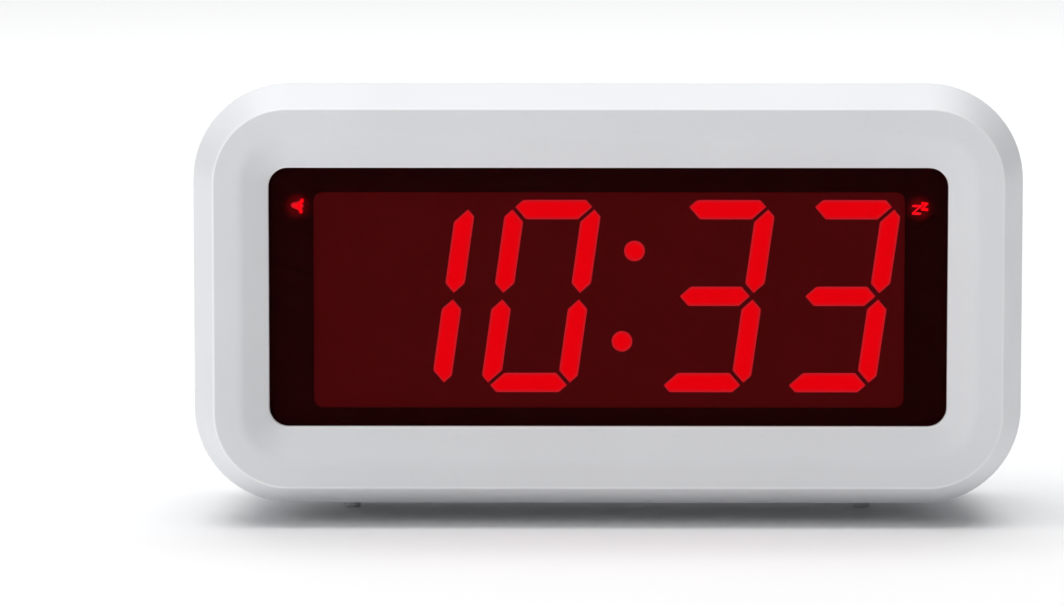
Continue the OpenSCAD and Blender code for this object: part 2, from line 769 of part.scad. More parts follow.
module lead_red() color("red")
    bar_along(smooth(shifted(red_route, [0, 0, box_z + row_offset])), lead_r);
module lead_black() color([0.1, 0.1, 0.1])
    bar_along(smooth(shifted(black_route, [0, 0, box_z - row_offset])), lead_r);
module snooze_lead() color("white")
    bar_along(smooth(shifted(snooze_route, [0, 0, snooze_board_top - board_t])), lead_r, 8, [1, 0, 0]);

// Flat cable between the two boards: a shallow sag, cut to width
module ribbon_cable() color("lightgray") {
    run = y_key_board - y_board_back - 0.1;
    top = [for (i = [0:16]) [y_board_back + 0.05 + run * i / 16, 1 - 2.2 * sin(180 * i / 16)]];
    translate([-14, 0, row_z - 3]) rotate([90, 0, 90]) linear_extrude(9)
        polygon(concat(top, [for (i = [16:-1:0]) top[i] - [0, 0.6]]));
}

// ---------- Fasteners and feet ----------

// A pan-head screw along Y: its head's underside at y_head, its tip towards -Y
module screw(r, len, head, head_t, x, y_head, z) {
    difference() {
        union() {
            rod(r, y_head - len, y_head + eps, x, z);
            rod(head, y_head, y_head + head_t, x, z);
        }
        for (a = [0, 1]) block(a == 0 ? head : head * 0.3, a == 0 ? head * 0.3 : head,
            y_head + head_t * 0.45, y_head + head_t + 1, x, z);
    }
}

module case_screws() color("silver")
    for (x = [-1, 1]) screw(case_screw_r, case_screw_len, head_r, 2, x * boss_x, seat_y + 0.05, boss_z);

module main_board_screws() color("silver")
    for (x = [-1, 1], z = [-1, 1])
        screw(board_screw_r, 6, 1.6, 1.2, x * post_x, y_board_back + 0.05, mid_z + z * post_z);

module key_board_screws() color("silver")
    for (x = key_post_x) mirror([0, 1, 0]) screw(board_screw_r, 5, 1.6, 1.2, x, -y_key_board + 0.05, row_z);

module snooze_board_screws() color("silver")
    for (x = [-1, 1]) translate([x * snooze_post_x, snooze_y, snooze_board_top - board_t - 0.05])
        rotate([-90, 0, 0]) screw(board_screw_r, 5, 1.6, 1.2, 0, 0, 0);

module foot(x, y) color("lightgray") {
    translate([x, y, 0]) {
        rise = bottom_z(y) - 0.15;
        cylinder(r1 = foot_r, r2 = foot_top_r, h = rise);
        translate([0, 0, rise - eps]) cylinder(r = peg_r, h = peg_len);
    }
}

module foot_front_left() foot(-foot_x, foot_front_y);
module foot_front_right() foot(foot_x, foot_front_y);
module foot_rear_left() foot(-foot_x, foot_rear_y);
module foot_rear_right() foot(foot_x, foot_rear_y);

// ---------- Moving pieces ----------

module snooze_bar() color("gainsboro") {
    y0 = snooze_y - snooze_d / 2 - 1;
    y1 = snooze_y + snooze_d / 2 + 1;
    difference() {
        intersection() {
            translate([0, snooze_y, flange_top_z - 1]) linear_extrude(20)
                round_rect(snooze_w, snooze_d, snooze_r);
            translate([-snooze_w, 0, 0]) rotate([90, 0, 90]) linear_extrude(2 * snooze_w)
                polygon([[y0, flange_top_z - 1], [y1, flange_top_z - 1], [y1, top_z(y1)], [y0, top_z(y0)]]);
        }
        // shallow finger dish along the bar
        translate([-snooze_w / 2 + 5, snooze_y, top_z(snooze_y) + 17.5]) rotate([0, 90, 0])
            cylinder(r = 18, h = snooze_w - 10, $fn = 128);
    }
    translate([0, snooze_y, flange_top_z - bar_flange_t]) linear_extrude(bar_flange_t)
        round_rect(snooze_w + 2 * bar_rim, snooze_d + 2 * bar_rim, snooze_r + bar_rim);
    translate([0, snooze_y, snooze_switch_top - 0.6])
        cylinder(r = stem_r, h = flange_top_z - bar_flange_t / 2 - snooze_switch_top + 0.6);
}

module rear_button(x) color("gainsboro") {
    rod(button_r, y_flange - eps, y_recess + button_proud, x, row_z);
    rod(button_r + flange_rim, y_flange - flange_t, y_flange, x, row_z);
    rod(stem_r, y_switch - stem_in, y_flange - flange_t + eps, x, row_z);
}

module time_button() rear_button(time_x);
module alarm_set_button() rear_button(alarm_set_x);
module hour_button() rear_button(hour_x);
module minute_button() rear_button(minute_x);

// Rests at the left end of its slot
module alarm_slide_knob() color("dimgray") {
    x = slide_x - slide_travel / 2;
    difference() {
        block(knob_w, knob_w, y_flange - 0.5, y_recess + 0.9, x, row_z);
        for (i = [-1, 0, 1]) block(0.35, knob_w + 1, y_recess + 0.5, y_recess + 2, x + i * 0.8, row_z);
    }
    block(slot_len + slide_travel + 0.8, knob_w + 2, y_flange - 0.8, y_flange, x, row_z);
    block(knob_w, knob_w - 0.8, y_switch - 1.6, y_flange - 0.4, x, row_z);
}

module battery_door() color("whitesmoke") {
    difference() {
        slab(door_w, door_h, door_r, y_rear - door_t, door_t, 0, door_z);
        for (i = [0:3]) block(14, 0.8, y_rear - 0.4, y_rear + 1, 0, door_z + door_h / 2 - 3 - 1.8 * i);
    }
    for (x = [-1, 1]) {
        block(tab_w, 1.5, tab_y - tab_t, y_rear - door_t + eps, x * tab_x, door_foot + 0.9);
        block(tab_w, tab_drop + 0.3, tab_y - tab_t, tab_y, x * tab_x, door_foot - tab_drop / 2 + 0.15);
    }
}

front_bezel();
rear_case();
display_lens();
mask_film();
display_housing();
hours_tens_lit();
hours_units_lit();
minutes_tens_lit();
minutes_units_lit();
colon_dots();
unlit_segments();
alarm_indicator();
snooze_indicator();
indicator_light_guides();
led_chips();
display_pins();
main_board();
clock_chip();
quartz_crystal();
storage_capacitor();
board_resistors();
key_board();
rear_switch_bodies();
alarm_switch_housing();
buzzer();
snooze_board();
snooze_switch_body();
battery_cell_1();
battery_cell_2();
battery_cell_3();
battery_cell_4();
positive_contact();
negative_contact();
link_contact();
negative_spring();
link_spring();
lead_red();
lead_black();
ribbon_cable();
snooze_lead();
case_screws();
main_board_screws();
key_board_screws();
snooze_board_screws();
foot_front_left();
foot_front_right();
foot_rear_left();
foot_rear_right();
snooze_bar();
time_button();
alarm_set_button();
hour_button();
minute_button();
alarm_slide_knob();
battery_door();
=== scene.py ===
"""Looks of the alarm clock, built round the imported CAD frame. Everything is in metres: X to the right,
the display faces -Y, Z up."""

import json
import math

import bmesh
import bpy
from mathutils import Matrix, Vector

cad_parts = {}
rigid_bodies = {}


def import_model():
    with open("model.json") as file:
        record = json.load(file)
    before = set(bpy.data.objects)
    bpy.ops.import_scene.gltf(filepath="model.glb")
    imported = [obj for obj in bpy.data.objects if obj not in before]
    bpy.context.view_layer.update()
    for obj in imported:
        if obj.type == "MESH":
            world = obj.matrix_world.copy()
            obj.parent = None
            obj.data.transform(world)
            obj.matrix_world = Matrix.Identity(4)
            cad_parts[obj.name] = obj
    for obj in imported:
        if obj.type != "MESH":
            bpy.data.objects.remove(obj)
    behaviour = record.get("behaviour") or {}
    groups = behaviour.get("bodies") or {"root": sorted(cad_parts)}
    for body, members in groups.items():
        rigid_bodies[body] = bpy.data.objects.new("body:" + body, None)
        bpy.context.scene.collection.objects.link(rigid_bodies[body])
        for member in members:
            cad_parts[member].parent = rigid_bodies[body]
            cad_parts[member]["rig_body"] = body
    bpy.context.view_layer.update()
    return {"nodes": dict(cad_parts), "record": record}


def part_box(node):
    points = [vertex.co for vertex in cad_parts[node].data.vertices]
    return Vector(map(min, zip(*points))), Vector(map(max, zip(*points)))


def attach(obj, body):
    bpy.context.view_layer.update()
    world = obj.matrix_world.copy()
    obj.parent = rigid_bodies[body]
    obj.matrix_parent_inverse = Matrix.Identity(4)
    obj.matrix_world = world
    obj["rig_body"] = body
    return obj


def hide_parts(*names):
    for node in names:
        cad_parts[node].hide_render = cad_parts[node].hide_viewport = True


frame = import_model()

MM = 0.001
NODES = frame["nodes"]
BODY = "clock_body"
SLOT_OF = {s["node"]: s["material_slot"] for s in frame["record"]["subparts"]}
COLOUR_OF = {m["slot"]: m["base_color"] for m in frame["record"]["materials"]}


# ---------- Camera, light and floor ----------

# The camera looks at a point left of and below the middle of the case.
ELEVATION = math.radians(6.5)
AZIMUTH = math.radians(0.34)
DISTANCE = 0.9
LENS_MM = 191.6
SENSOR_MM = 36
AIM_LEFT = 11.95 * MM
AIM_DOWN = 2.9 * MM


def middle(box):
    low, high = box
    return (low + high) / 2


def add_camera():
    body = middle(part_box("rear_case"))
    aim = Vector((body.x - AIM_LEFT, 0, body.z - AIM_DOWN))
    back = Vector((
        math.sin(AZIMUTH) * math.cos(ELEVATION),
        -math.cos(AZIMUTH) * math.cos(ELEVATION),
        math.sin(ELEVATION),
    ))
    data = bpy.data.cameras.new("camera")
    data.lens = LENS_MM
    data.sensor_width = SENSOR_MM
    data.clip_start = 0.01
    data.clip_end = 50
    camera = bpy.data.objects.new("camera", data)
    camera.location = aim + back * DISTANCE
    camera.rotation_euler = (-back).to_track_quat("-Z", "Y").to_euler()
    bpy.context.scene.collection.objects.link(camera)
    bpy.context.scene.camera = camera


WORLD_STRENGTH = 0.13
WORLD_COLOUR = (0.97, 0.985, 1.0, 1)
SUN_AT = (-0.1, 0, 2)
SUN_STRENGTH = 2.4
SUN_SPREAD = math.radians(65)
# name, place, width and height of the panel, power in watts
SOFTBOXES = [
    ("left_softbox", (-0.55, -0.22, 0.14), (0.35, 0.35), 0.24),
    ("left_high_softbox", (-0.6, -0.3, 0.6), (0.5, 0.5), 0.42),
    ("left_front_softbox", (-0.5, -0.55, 0.2), (0.4, 0.4), 0.76),
    ("back_softbox", (0.0, 0.8, 1.0), (1.2, 1.2), 3.6),
]


def add_light(name, kind, at, power):
    """A light that points at the middle of the case. Gives back its settings."""
    data = bpy.data.lights.new(name, kind)
    data.energy = power
    light = bpy.data.objects.new(name, data)
    light.location = at
    aim = middle(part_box("rear_case"))
    light.rotation_euler = (aim - Vector(at)).to_track_quat("-Z", "Y").to_euler()
    bpy.context.scene.collection.objects.link(light)
    return data


def add_studio():
    world = bpy.data.worlds.new("studio")
    world.use_nodes = True
    background = world.node_tree.nodes["Background"]
    background.inputs["Color"].default_value = WORLD_COLOUR
    background.inputs["Strength"].default_value = WORLD_STRENGTH
    bpy.context.scene.world = world
    add_light("overhead", "SUN", SUN_AT, SUN_STRENGTH).angle = SUN_SPREAD
    for name, at, size, power in SOFTBOXES:
        panel = add_light(name, "AREA", at, power)
        panel.shape = "RECTANGLE"
        panel.size, panel.size_y = size


FLOOR_HALF = 8.0
FLOOR_DARK = (0.93, 0.93, 0.935, 1)
FLOOR_LIGHT = (0.95, 0.95, 0.955, 1)


def add_floor():
    mesh = bpy.data.meshes.new("floor")
    bm = bmesh.new()
    bm.faces.new([
        bm.verts.new((sx * FLOOR_HALF, sy * FLOOR_HALF, 0))
        for sx, sy in ((-1, -1), (1, -1), (1, 1), (-1, 1))
    ])
    bm.to_mesh(mesh)
    bm.free()
    floor = bpy.data.objects.new("floor", mesh)
    bpy.context.scene.collection.objects.link(floor)
    material = bpy.data.materials.new("floor_paper")
    material.use_nodes = True
    tree = material.node_tree
    shader = tree.nodes["Principled BSDF"]
    shader.inputs["Roughness"].default_value = 0.9
    shader.inputs["Specular IOR Level"].default_value = 0.1
    noise = tree.nodes.new("ShaderNodeTexNoise")
    noise.inputs["Scale"].default_value = 4
    ramp = tree.nodes.new("ShaderNodeValToRGB")
    ramp.color_ramp.elements[0].color = FLOOR_DARK
    ramp.color_ramp.elements[1].color = FLOOR_LIGHT
    tree.links.new(noise.outputs["Fac"], ramp.inputs["Fac"])
    tree.links.new(ramp.outputs["Color"], shader.inputs["Base Color"])
    mesh.materials.append(material)


# ---------- Materials ----------

# Most of a noise lies between these two values.
NOISE_LOW = 0.3
NOISE_HIGH = 0.7


class Shader:
    """A Principled material whose textures lie in object space, with sizes given in millimetres."""

    def __init__(self, name, roughness, specular, metallic=0.0):
        self.material = bpy.data.materials.new(name)
        self.material.use_nodes = True
        self.tree = self.material.node_tree
        self.bsdf = self.tree.nodes["Principled BSDF"]
        self.bsdf.inputs["Roughness"].default_value = roughness
        self.bsdf.inputs["Specular IOR Level"].default_value = specular
        self.bsdf.inputs["Metallic"].default_value = metallic
        coords = self.tree.nodes.new("ShaderNodeTexCoord")
        self.where = coords.outputs["Object"]

    def link(self, source, target):
        self.tree.links.new(source, target)

    def feed(self, name, source):
        """Links a socket to an input of the surface itself."""
        self.link(source, self.bsdf.inputs[name])

    def noise(self, size_mm, detail=3.0, rough=0.55, stretch=(1, 1, 1)):
        """Noise whose features are about size_mm across, drawn out by stretch."""
        mapping = self.tree.nodes.new("ShaderNodeMapping")
        mapping.inputs["Scale"].default_value = [s / (size_mm * MM) for s in stretch]
        self.link(self.where, mapping.inputs["Vector"])
        node = self.tree.nodes.new("ShaderNodeTexNoise")
        node.inputs["Scale"].default_value = 1
        node.inputs["Detail"].default_value = detail
        node.inputs["Roughness"].default_value = rough
        self.link(mapping.outputs["Vector"], node.inputs["Vector"])
        return node.outputs["Fac"]

    def ramp(self, source, stops):
        """stops is [(place, colour), ...] for a value of 0 to 1."""
        node = self.tree.nodes.new("ShaderNodeValToRGB")
        elements = node.color_ramp.elements
        while len(elements) < len(stops):
            elements.new(0.5)
        for element, (place, colour) in zip(elements, stops):
            element.position = place
            element.color = (*colour[:3], 1)
        self.link(source, node.inputs["Fac"])
        return node.outputs["Color"]

    def attribute(self, name):
        """The value of a vertex attribute, 0 where a mesh has none."""
        node = self.tree.nodes.new("ShaderNodeAttribute")
        node.attribute_name = name
        return node.outputs["Fac"]

    def drift(self, source, dark, light):
        """A slow change between two colours over the middle of a noise."""
        return self.ramp(source, [(NOISE_LOW, dark), (NOISE_HIGH, light)])

    def spread(self, source, low, high):
        """Maps the middle of a noise onto low to high."""
        node = self.tree.nodes.new("ShaderNodeMapRange")
        node.inputs["From Min"].default_value = NOISE_LOW
        node.inputs["From Max"].default_value = NOISE_HIGH
        node.inputs["To Min"].default_value = low
        node.inputs["To Max"].default_value = high
        self.link(source, node.inputs["Value"])
        return node.outputs["Result"]

    def mix(self, factor, a, b):
        """Blends a into b. The factor and both colours are sockets or plain numbers."""
        node = self.tree.nodes.new("ShaderNodeMix")
        node.data_type = "RGBA"
        for value, socket in ((factor, node.inputs[0]), (a, node.inputs[6]), (b, node.inputs[7])):
            if isinstance(value, bpy.types.NodeSocket):
                self.link(value, socket)
            elif isinstance(value, (int, float)):
                socket.default_value = value
            else:
                socket.default_value = (*value[:3], 1)
        return node.outputs[2]

    def bump(self, source, height_mm, strength, after=None):
        """Adds relief on top of the normal given in after."""
        node = self.tree.nodes.new("ShaderNodeBump")
        node.inputs["Distance"].default_value = height_mm * MM
        node.inputs["Strength"].default_value = strength
        self.link(source, node.inputs["Height"])
        if after is not None:
            self.link(after, node.inputs["Normal"])
        self.feed("Normal", node.outputs["Normal"])
        return node.outputs["Normal"]


# painted highlight: the near-white colour and low roughness laid along the bezel ridge and the window lip
HIGHLIGHT_COLOUR = (0.99, 0.99, 0.99)
HIGHLIGHT_ROUGHNESS = (0.2, 0.2, 0.2)
TONE_DRIFT = 0.03
# painted glow: a faint red emission on the display housing and the unlit segments, which are no lamps
PAINTED_GLOW_COLOUR = (1, 0.028, 0.032, 1)
PAINTED_GLOW_STRENGTH = 0.128
RIM_COLOUR = (0.66, 0.010, 0.018)
BLOOM_COLOUR = (0.16, 0.001, 0.002)
BLOOM_START = 0.7 * MM
BLOOM_END = 2.6 * MM


def shade(colour, factor):
    """A colour made lighter or darker."""
    return tuple(min(1.0, c * factor) for c in colour[:3])


def moulded_plastic(name, colour, roughness, grain_mm=0.22, grain_height=0.004, specular=0.5):
    """Moulded plastic: slow drift in tone, faint rub marks in the gloss and a fine spark-eroded grain.
    Where a vertex attribute asks for it, the edge gets a painted highlight: a near-white colour and more
    gloss."""
    s = Shader(name, roughness, specular)
    slow = s.noise(30, 2)
    cloud = s.drift(slow, shade(colour, 1 - TONE_DRIFT), shade(colour, 1 + TONE_DRIFT))
    specks = s.ramp(s.noise(1.1, 4, 0.6), [(0.30, shade(colour, 0.955)), (0.42, colour)])
    highlight = s.attribute("painted_highlight_share")
    body = s.mix(0.35, cloud, specks)
    s.feed("Base Color", s.mix(highlight, body, HIGHLIGHT_COLOUR))
    rubbed = s.noise(6, 5, 0.6, (0.35, 1, 1))
    gloss = s.spread(rubbed, roughness - 0.05, roughness + 0.05)
    s.feed("Roughness", s.mix(highlight, gloss, HIGHLIGHT_ROUGHNESS))
    flow = s.bump(s.noise(14, 1), 0.02, 0.35)
    s.bump(s.noise(grain_mm, 2), grain_height, 0.6, flow)
    return s.material


def rubber(name, colour):
    """Rubber or wire insulation: dull and slightly cloudy."""
    s = Shader(name, 0.75, 0.3)
    s.feed("Base Color", s.ramp(s.noise(2.5, 5), [(0.3, shade(colour, 0.85)), (0.75, shade(colour, 1.12))]))
    s.feed("Roughness", s.spread(s.noise(1.2), 0.65, 0.85))
    s.bump(s.noise(0.35, 3), 0.02, 0.5)
    return s.material


def metal(name, colour, roughness, stretch=(1, 1, 1)):
    """Plated metal with fine drawn lines and a little dulling."""
    s = Shader(name, roughness, 0.5, 1.0)
    s.feed("Base Color", s.drift(s.noise(4, 4), shade(colour, 0.82), colour))
    lines = s.noise(0.25, 3, 0.6, stretch)
    s.feed("Roughness", s.spread(lines, roughness - 0.08, roughness + 0.12))
    s.bump(lines, 0.004, 0.5)
    return s.material


def circuit_board(name, colour):
    """Solder mask over copper: broad pours, thin tracks and the glass weave under them."""
    s = Shader(name, 0.35, 0.5)
    brick = s.tree.nodes.new("ShaderNodeTexBrick")
    brick.inputs["Scale"].default_value = 140
    brick.inputs["Mortar Size"].default_value = 0.06
    brick.inputs["Color1"].default_value = (*shade(colour, 1.0), 1)
    brick.inputs["Color2"].default_value = (*shade(colour, 1.35), 1)
    brick.inputs["Mortar"].default_value = (*shade(colour, 0.55), 1)
    turned = s.tree.nodes.new("ShaderNodeMapping")
    turned.inputs["Rotation"].default_value = (math.radians(90), 0, 0)
    s.link(s.where, turned.inputs["Vector"])
    s.link(turned.outputs["Vector"], brick.inputs["Vector"])
    s.feed("Base Color", s.mix(s.spread(s.noise(3), 0.1, 0.6), brick.outputs["Color"], shade(colour, 0.9)))
    s.feed("Roughness", s.spread(s.noise(1.5), 0.28, 0.45))
    s.bump(brick.outputs["Fac"], 0.02, 0.5)
    return s.material


def cell_sleeve(name, colour):
    """Unmarked dark wrap on a steel can, with a faint metallic sheen."""
    s = Shader(name, 0.32, 0.5)
    smears = s.noise(5, 3, 0.5, (0.2, 1, 1))
    s.feed("Base Color", s.drift(smears, shade(colour, 0.8), shade(colour, 1.15)))
    s.bsdf.inputs["Metallic"].default_value = 0.35
    s.feed("Roughness", s.spread(s.noise(2), 0.25, 0.4))
    s.bump(s.noise(8, 2), 0.02, 0.4)
    return s.material


def lit_segment(name, power):
    """A lit segment: bright in the middle, duller towards its rim, faintly mottled by the diffuser."""
    s = Shader(name, 0.5, 0.05)
    s.bsdf.inputs["Base Color"].default_value = (0.2, 0.0, 0.001, 1)
    rim = s.attribute("rim")
    core = s.drift(s.noise(1.6, 2), (0.95, 0.0, 0.003), (1.0, 0.0, 0.004))
    glow = s.mix(rim, core, RIM_COLOUR)
    s.feed("Emission Color", glow)
    s.bsdf.inputs["Emission Strength"].default_value = power
    s.bump(s.noise(0.6, 2), 0.01, 0.4)
    return s.material


def tinted_lens(name):
    """Dark red acrylic seen through: polished, with faint smears in the gloss."""
    s = Shader(name, 0.07, 0.012)
    s.feed("Base Color", s.drift(s.noise(18, 3), (0.026, 0.0007, 0.0012), (0.030, 0.0008, 0.0014)))
    s.feed("Roughness", s.spread(s.noise(9, 4, 0.6, (0.5, 1, 1)), 0.05, 0.10))
    s.bsdf.inputs["Alpha"].default_value = 0.5
    return s.material


def matte(name, colour, roughness, glow=0.0, specular=0.25):
    """A dull surface. A glow is painted light: a red emission standing in for LED light that bleeds through
    it from behind.
    """
    s = Shader(name, roughness, specular)
    s.bsdf.inputs["Emission Color"].default_value = PAINTED_GLOW_COLOUR
    s.bsdf.inputs["Emission Strength"].default_value = glow
    s.feed("Base Color", s.drift(s.noise(6, 4), shade(colour, 0.92), shade(colour, 1.08)))
    s.feed("Roughness", s.spread(s.noise(2.5), roughness - 0.08, roughness + 0.08))
    s.bump(s.noise(0.5, 3), 0.01, 0.4)
    return s.material


def printed_film(name):
    """Black print with a faint red bloom round the two lit signs."""
    s = Shader(name, 0.6, 0.05)
    s.feed("Base Color", s.drift(s.noise(3, 4), (0.003, 0.002, 0.002), (0.005, 0.003, 0.003)))
    bloom = None
    for sign in ("alarm_indicator", "snooze_indicator"):
        apart = s.tree.nodes.new("ShaderNodeVectorMath")
        apart.operation = "DISTANCE"
        s.link(s.where, apart.inputs[0])
        apart.inputs[1].default_value = middle(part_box(sign))
        fade = s.tree.nodes.new("ShaderNodeMapRange")
        fade.interpolation_type = "SMOOTHERSTEP"
        fade.inputs["From Min"].default_value = BLOOM_START
        fade.inputs["From Max"].default_value = BLOOM_END
        fade.inputs["To Min"].default_value = 1
        fade.inputs["To Max"].default_value = 0
        s.link(apart.outputs["Value"], fade.inputs["Value"])
        if bloom is None:
            bloom = fade.outputs["Result"]
        else:
            total = s.tree.nodes.new("ShaderNodeMath")
            s.link(bloom, total.inputs[0])
            s.link(fade.outputs["Result"], total.inputs[1])
            bloom = total.outputs["Value"]
    s.feed("Emission Color", s.mix(bloom, (0, 0, 0), BLOOM_COLOUR))
    s.bsdf.inputs["Emission Strength"].default_value = 1
    s.bump(s.noise(0.5, 3), 0.005, 0.4)
    return s.material


def make_materials():
    c = COLOUR_OF
    made = {
        "white_shell": moulded_plastic("white_shell", c["white_shell"], 0.40),
        "white_button": moulded_plastic("white_button", c["white_button"], 0.36),
        "grey_knob": moulded_plastic("grey_knob", c["grey_knob"], 0.45, specular=0.4),
        "red_lens": tinted_lens("red_lens"),
        "black_mask": printed_film("black_mask"),
        # the housing and the unlit segments carry the painted glow
        "black_housing": matte(
            "black_housing", (0.30, 0.012, 0.016), 0.6, glow=PAINTED_GLOW_STRENGTH, specular=0.05),
        "led_red": lit_segment("led_red", 3.1),
        "led_red_sign": lit_segment("led_red_sign", 2.3),
        "led_off": matte("led_off", (0.31, 0.012, 0.016), 0.6, glow=PAINTED_GLOW_STRENGTH, specular=0.05),
        "light_guide": matte("light_guide", c["light_guide"], 0.3),
        "led_chip": matte("led_chip", c["led_chip"], 0.4),
        "tinned_pins": metal("tinned_pins", c["tinned_pins"], 0.3),
        "circuit_board": circuit_board("circuit_board", c["circuit_board"]),
        "black_component": moulded_plastic("black_component", c["black_component"], 0.5, 0.15, 0.006),
        "metal_can": metal("metal_can", c["metal_can"], 0.28, (0.2, 1, 1)),
        "capacitor_sleeve": moulded_plastic("capacitor_sleeve", c["capacitor_sleeve"], 0.25),
        "cell_sleeve": cell_sleeve("cell_sleeve", c["cell_sleeve"]),
        "nickel_contact": metal("nickel_contact", c["nickel_contact"], 0.3, (1, 0.3, 1)),
        "screw_steel": metal("screw_steel", c["screw_steel"], 0.32),
        # the feet are painted 1.4 times lighter than their own colour: painted light that lifts them out of
        # the shade under the case
        "foot_rubber": rubber("foot_rubber", shade(c["foot_rubber"], 1.4)),
    }
    for wire in ("red_wire", "black_wire", "white_wire", "grey_ribbon"):
        made[wire] = rubber(wire, c[wire])
    return made


MATERIALS = make_materials()


def paint(obj, slot):
    """Gives every face of obj the material of one slot."""
    if not obj.material_slots:
        obj.data.materials.append(MATERIALS[slot])
    for s in obj.material_slots:
        s.link = "OBJECT"
        s.material = MATERIALS[slot]


# ---------- Pieces ----------

WELD = 0.002 * MM
FLAT_ANGLE = math.radians(0.5)
BEVEL_ANGLE = math.radians(35)
SHARP_ANGLE = math.radians(32)
NORMAL_WEIGHT = 80


def new_piece(name, bm, slot, body=BODY, finish=None):
    """Makes a piece out of a bmesh, riding its body. A finish is a material other than the slot's."""
    mesh = bpy.data.meshes.new(name)
    bm.normal_update()
    bm.to_mesh(mesh)
    bm.free()
    mesh.materials.append(MATERIALS[finish or slot])
    piece = bpy.data.objects.new(name, mesh)
    bpy.context.scene.collection.objects.link(piece)
    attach(piece, body)
    return piece


def smooth_faces(piece):
    for polygon in piece.data.polygons:
        polygon.use_smooth = True


def add_bevel(piece, width_mm, segments):
    bevel = piece.modifiers.new("soft_edges", "BEVEL")
    bevel.width = width_mm * MM
    bevel.segments = segments
    bevel.limit_method = "ANGLE"
    bevel.angle_limit = BEVEL_ANGLE
    bevel.use_clamp_overlap = True
    bevel.harden_normals = False
    bevel.miter_outer = "MITER_ARC"


def add_even_normals(piece):
    weighted = piece.modifiers.new("even_normals", "WEIGHTED_NORMAL")
    weighted.keep_sharp = True
    weighted.weight = NORMAL_WEIGHT


def joined_faces(node):
    """The mesh of a CAD node with its flat faces joined up from their triangles."""
    bm = bmesh.new()
    bm.from_mesh(NODES[node].data)
    bmesh.ops.remove_doubles(bm, verts=bm.verts, dist=WELD)
    bmesh.ops.dissolve_limit(bm, angle_limit=FLAT_ANGLE, verts=bm.verts, edges=bm.edges)
    return bm


def refined(node, width_mm, name, segments):
    """A copy of a CAD node with its edges softly rounded, as moulding leaves them."""
    piece = new_piece(name, joined_faces(node), SLOT_OF[node], NODES[node]["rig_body"])
    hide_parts(node)
    smooth_faces(piece)
    add_bevel(piece, width_mm, segments)
    add_even_normals(piece)


# The bezel's sizes that no box gives. Where a half width takes a size, so does the half height.
CORNER = 15 * MM  # outer corner radius
CHAMFER_IN = 3.4 * MM  # how far the leaning edge comes in from the parting line to the ridge
BAND_WIDTH = 4.2 * MM
BAND_FALL = 0.4 * MM  # how far the flat band falls back from the ridge
WINDOW_CORNER = 3 * MM
LENS_MARGIN = 1.5 * MM  # how far the lens reaches under the lip
LIP = 1.0 * MM  # thickness of the lip in front of the lens
POCKET_PLAY = 0.1 * MM
POCKET_CORNER = 2.1 * MM
POCKET_RIB = 1.2 * MM  # width of the rib round the lens pocket
RIB_CORNER = 3.3 * MM
RIB_DEPTH = 2.1 * MM
INSIDE_W = 1.9 * MM  # how far the well behind the lip stands clear of the pocket
INSIDE_H = 2.8 * MM
INSIDE_CORNER = 6 * MM
WALL = 2.1 * MM
SKIN = 2.0 * MM  # thickness behind the band
TONGUE = 2.0 * MM  # how far rear_case reaches into the bezel
CORNER_STEPS = 24


def rounded_loop(half_w, half_h, radius, y, centre_z):
    """Points round a rectangle with rounded corners, the same number for every size."""
    points = []
    for k, (sx, sz) in enumerate(((1, 1), (-1, 1), (-1, -1), (1, -1))):
        for i in range(CORNER_STEPS + 1):
            a = math.radians(90 * k + 90 * i / CORNER_STEPS)
            points.append((
                sx * (half_w - radius) + radius * math.cos(a),
                y,
                centre_z + sz * (half_h - radius) + radius * math.sin(a),
            ))
    return points


def blend(a, b, t):
    """The point a share t of the way from a to b."""
    return [u + (v - u) * t for u, v in zip(a, b)]


def gap(a, b):
    """Distance between two loops, measured along the top edge."""
    return math.hypot(a[1] - b[1], a[3] - b[3])


MOST_REACH = 0.45  # a rounding takes at most this share of the way to the next station
WIDE_ROUNDING = 0.2  # in mm: a wider one gets more steps
WIDE_STEPS = 8
NARROW_STEPS = 3


def softened(stations):
    """Rounds a closed row of loops: each station ends with the length its corner is rounded over in mm.
    Gives back [(loop, share)], share being 1 in the middle of a rounding and 0 where it ends."""
    rows = []
    for i, station in enumerate(stations):
        here, reach = station[:4], station[4] * MM
        if not reach:
            rows.append((here, 0.0))
            continue
        before, after = stations[i - 1][:4], stations[(i + 1) % len(stations)][:4]
        start = blend(here, before, min(MOST_REACH, reach / gap(here, before)))
        end = blend(here, after, min(MOST_REACH, reach / gap(here, after)))
        steps = WIDE_STEPS if station[4] > WIDE_ROUNDING else NARROW_STEPS
        for k in range(steps + 1):
            t = k / steps
            rows.append((blend(blend(start, here, t), blend(here, end, t), t), 1 - abs(2 * t - 1)))
    return rows


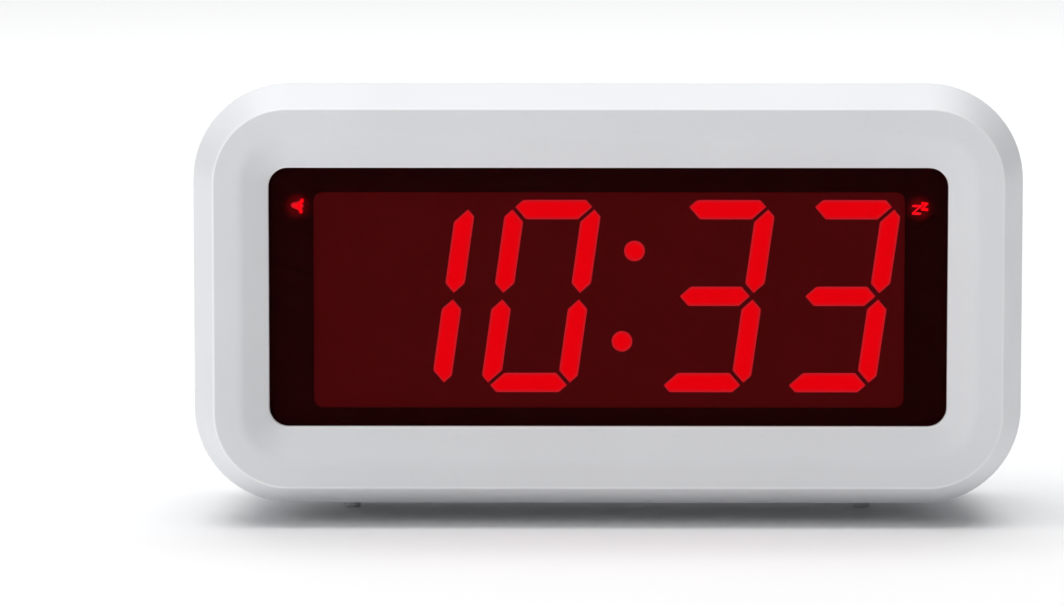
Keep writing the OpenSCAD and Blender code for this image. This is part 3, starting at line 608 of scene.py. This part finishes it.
def make_bezel():
    """The front bezel: leaning edge, ridge, flat band, dish and lip, with the lens pocket behind."""
    low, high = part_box("front_bezel")
    lens_low, lens_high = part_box("display_lens")
    case_low, case_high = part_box("rear_case")
    centre_z = middle((case_low, case_high)).z
    # half sizes, all of them from the middle of the case
    half_w, half_h = high.x, high.z - centre_z
    y_ridge, y_part = low.y, case_low.y + TONGUE
    y_lip = lens_low.y
    lens_w, lens_h = lens_high.x, lens_high.z - centre_z
    window_w, window_h = lens_w - LENS_MARGIN, lens_h - LENS_MARGIN
    pocket_w, pocket_h = lens_w + POCKET_PLAY, lens_h + POCKET_PLAY
    rib_w, rib_h = pocket_w + POCKET_RIB, pocket_h + POCKET_RIB
    inside_w, inside_h = pocket_w + INSIDE_W, pocket_h + INSIDE_H
    y_skin = y_ridge + BAND_FALL + SKIN
    core_w, core_h = half_w - CORNER, half_h - CORNER

    def leaning(y):
        """Corner radius of the leaning edge at a depth."""
        return CORNER - CHAMFER_IN * (y_part - y) / (y_part - y_ridge)

    def shell(radius, y, soft):
        """A station round the outline, whose corners all share one centre."""
        return (core_w + radius, core_h + radius, radius, y, soft)

    ridge = leaning(y_ridge)
    # half width, half height, corner radius, depth, length its corner is rounded over in mm
    stations = [
        shell(CORNER, y_part, 0.12),
        shell(ridge, y_ridge, 0.30),
        shell(ridge - BAND_WIDTH, y_ridge + BAND_FALL, 0.9),
        (window_w, window_h, WINDOW_CORNER, y_lip - LIP, 0.32),
        (window_w, window_h, WINDOW_CORNER, y_lip, 0),
        (pocket_w, pocket_h, POCKET_CORNER, y_lip, 0),
        (pocket_w, pocket_h, POCKET_CORNER, y_lip + RIB_DEPTH, 0.1),
        (rib_w, rib_h, RIB_CORNER, y_lip + RIB_DEPTH, 0.1),
        (rib_w, rib_h, RIB_CORNER, y_lip, 0),
        (inside_w, inside_h, INSIDE_CORNER, y_lip, 0),
        (inside_w, inside_h, INSIDE_CORNER, y_skin, 0),
        shell(leaning(y_skin) - WALL, y_skin, 0),
        shell(CORNER - WALL, y_part, 0.1),
    ]
    rows = softened(stations)
    bm = bmesh.new()
    painted_highlight_share = bm.verts.layers.float.new("painted_highlight_share")
    loops = []
    for (w, h, r, y), share in rows:
        loop = [bm.verts.new(p) for p in rounded_loop(w, h, r, y, centre_z)]
        # only the ridge and the front edge of the window get the painted highlight
        on_ridge = w > half_w - CHAMFER_IN - 0.6 * MM and y < y_ridge + 0.3 * MM
        on_lip = w < window_w + 0.3 * MM and y < y_lip - 0.5 * LIP
        highlight = share if on_ridge or on_lip else 0.0
        for v in loop:
            v[painted_highlight_share] = highlight
        loops.append(loop)
    count = len(loops[0])
    for a, b in zip(loops, loops[1:] + loops[:1]):
        for i in range(count):
            j = (i + 1) % count
            bm.faces.new((a[i], a[j], b[j], b[i]))
    bmesh.ops.recalc_face_normals(bm, faces=bm.faces)
    piece = new_piece("bezel_shell", bm, "white_shell")
    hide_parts("front_bezel")
    smooth_faces(piece)
    piece.data.set_sharp_from_angle(angle=SHARP_ANGLE)
    add_even_normals(piece)


# Two bands round each lit bar: the outer one is dull, and the inner one fades from dull to bright.
RIM_WIDTHS = (0.2 * MM, 0.35 * MM)
FACES_FRONT = 0.9


def make_lit_digit(node):
    """The lit bars of a digit, or a lit sign, each with a duller rim."""
    bm = joined_faces(node)
    bm.normal_update()
    fronts = [f for f in bm.faces if f.normal.y < -FACES_FRONT]
    rim = bm.verts.layers.float.new("rim")
    for v in bm.verts:
        v[rim] = 1.0
    for width in RIM_WIDTHS:
        bmesh.ops.inset_individual(bm, faces=fronts, thickness=width, depth=0)
    for f in fronts:
        for v in f.verts:
            v[rim] = 0.0
    finish = "led_red_sign" if "indicator" in node else None
    piece = new_piece("glow_" + node, bm, "led_red", finish=finish)
    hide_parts(node)


def dress_frame():
    """Gives every CAD node the finish of its slot, the ones that are replaced later too."""
    for name, node in NODES.items():
        paint(node, SLOT_OF[name])


# ---------- The scene ----------

add_camera()
add_studio()
add_floor()
dress_frame()
make_bezel()
for lit in ("hours_tens_lit", "hours_units_lit", "minutes_tens_lit", "minutes_units_lit", "colon_dots",
            "alarm_indicator", "snooze_indicator"):
    make_lit_digit(lit)
# node, width of its rounded edges in mm, name of the piece, segments
refined("rear_case", 0.18, "case_shell", 2)
refined("battery_door", 0.15, "door_panel", 2)
refined("snooze_bar", 0.3, "snooze_cap", 3)
for button in ("time_button", "alarm_set_button", "hour_button", "minute_button"):
    refined(button, 0.3, button + "_cap", 3)
refined("alarm_slide_knob", 0.15, "slide_knob", 2)
refined("case_screws", 0.12, "case_screw_pair", 2)
for foot in ("foot_front_left", "foot_front_right", "foot_rear_left", "foot_rear_right"):
    refined(foot, 0.35, foot + "_pad", 3)

bpy.context.scene.view_settings.view_transform = "Standard"
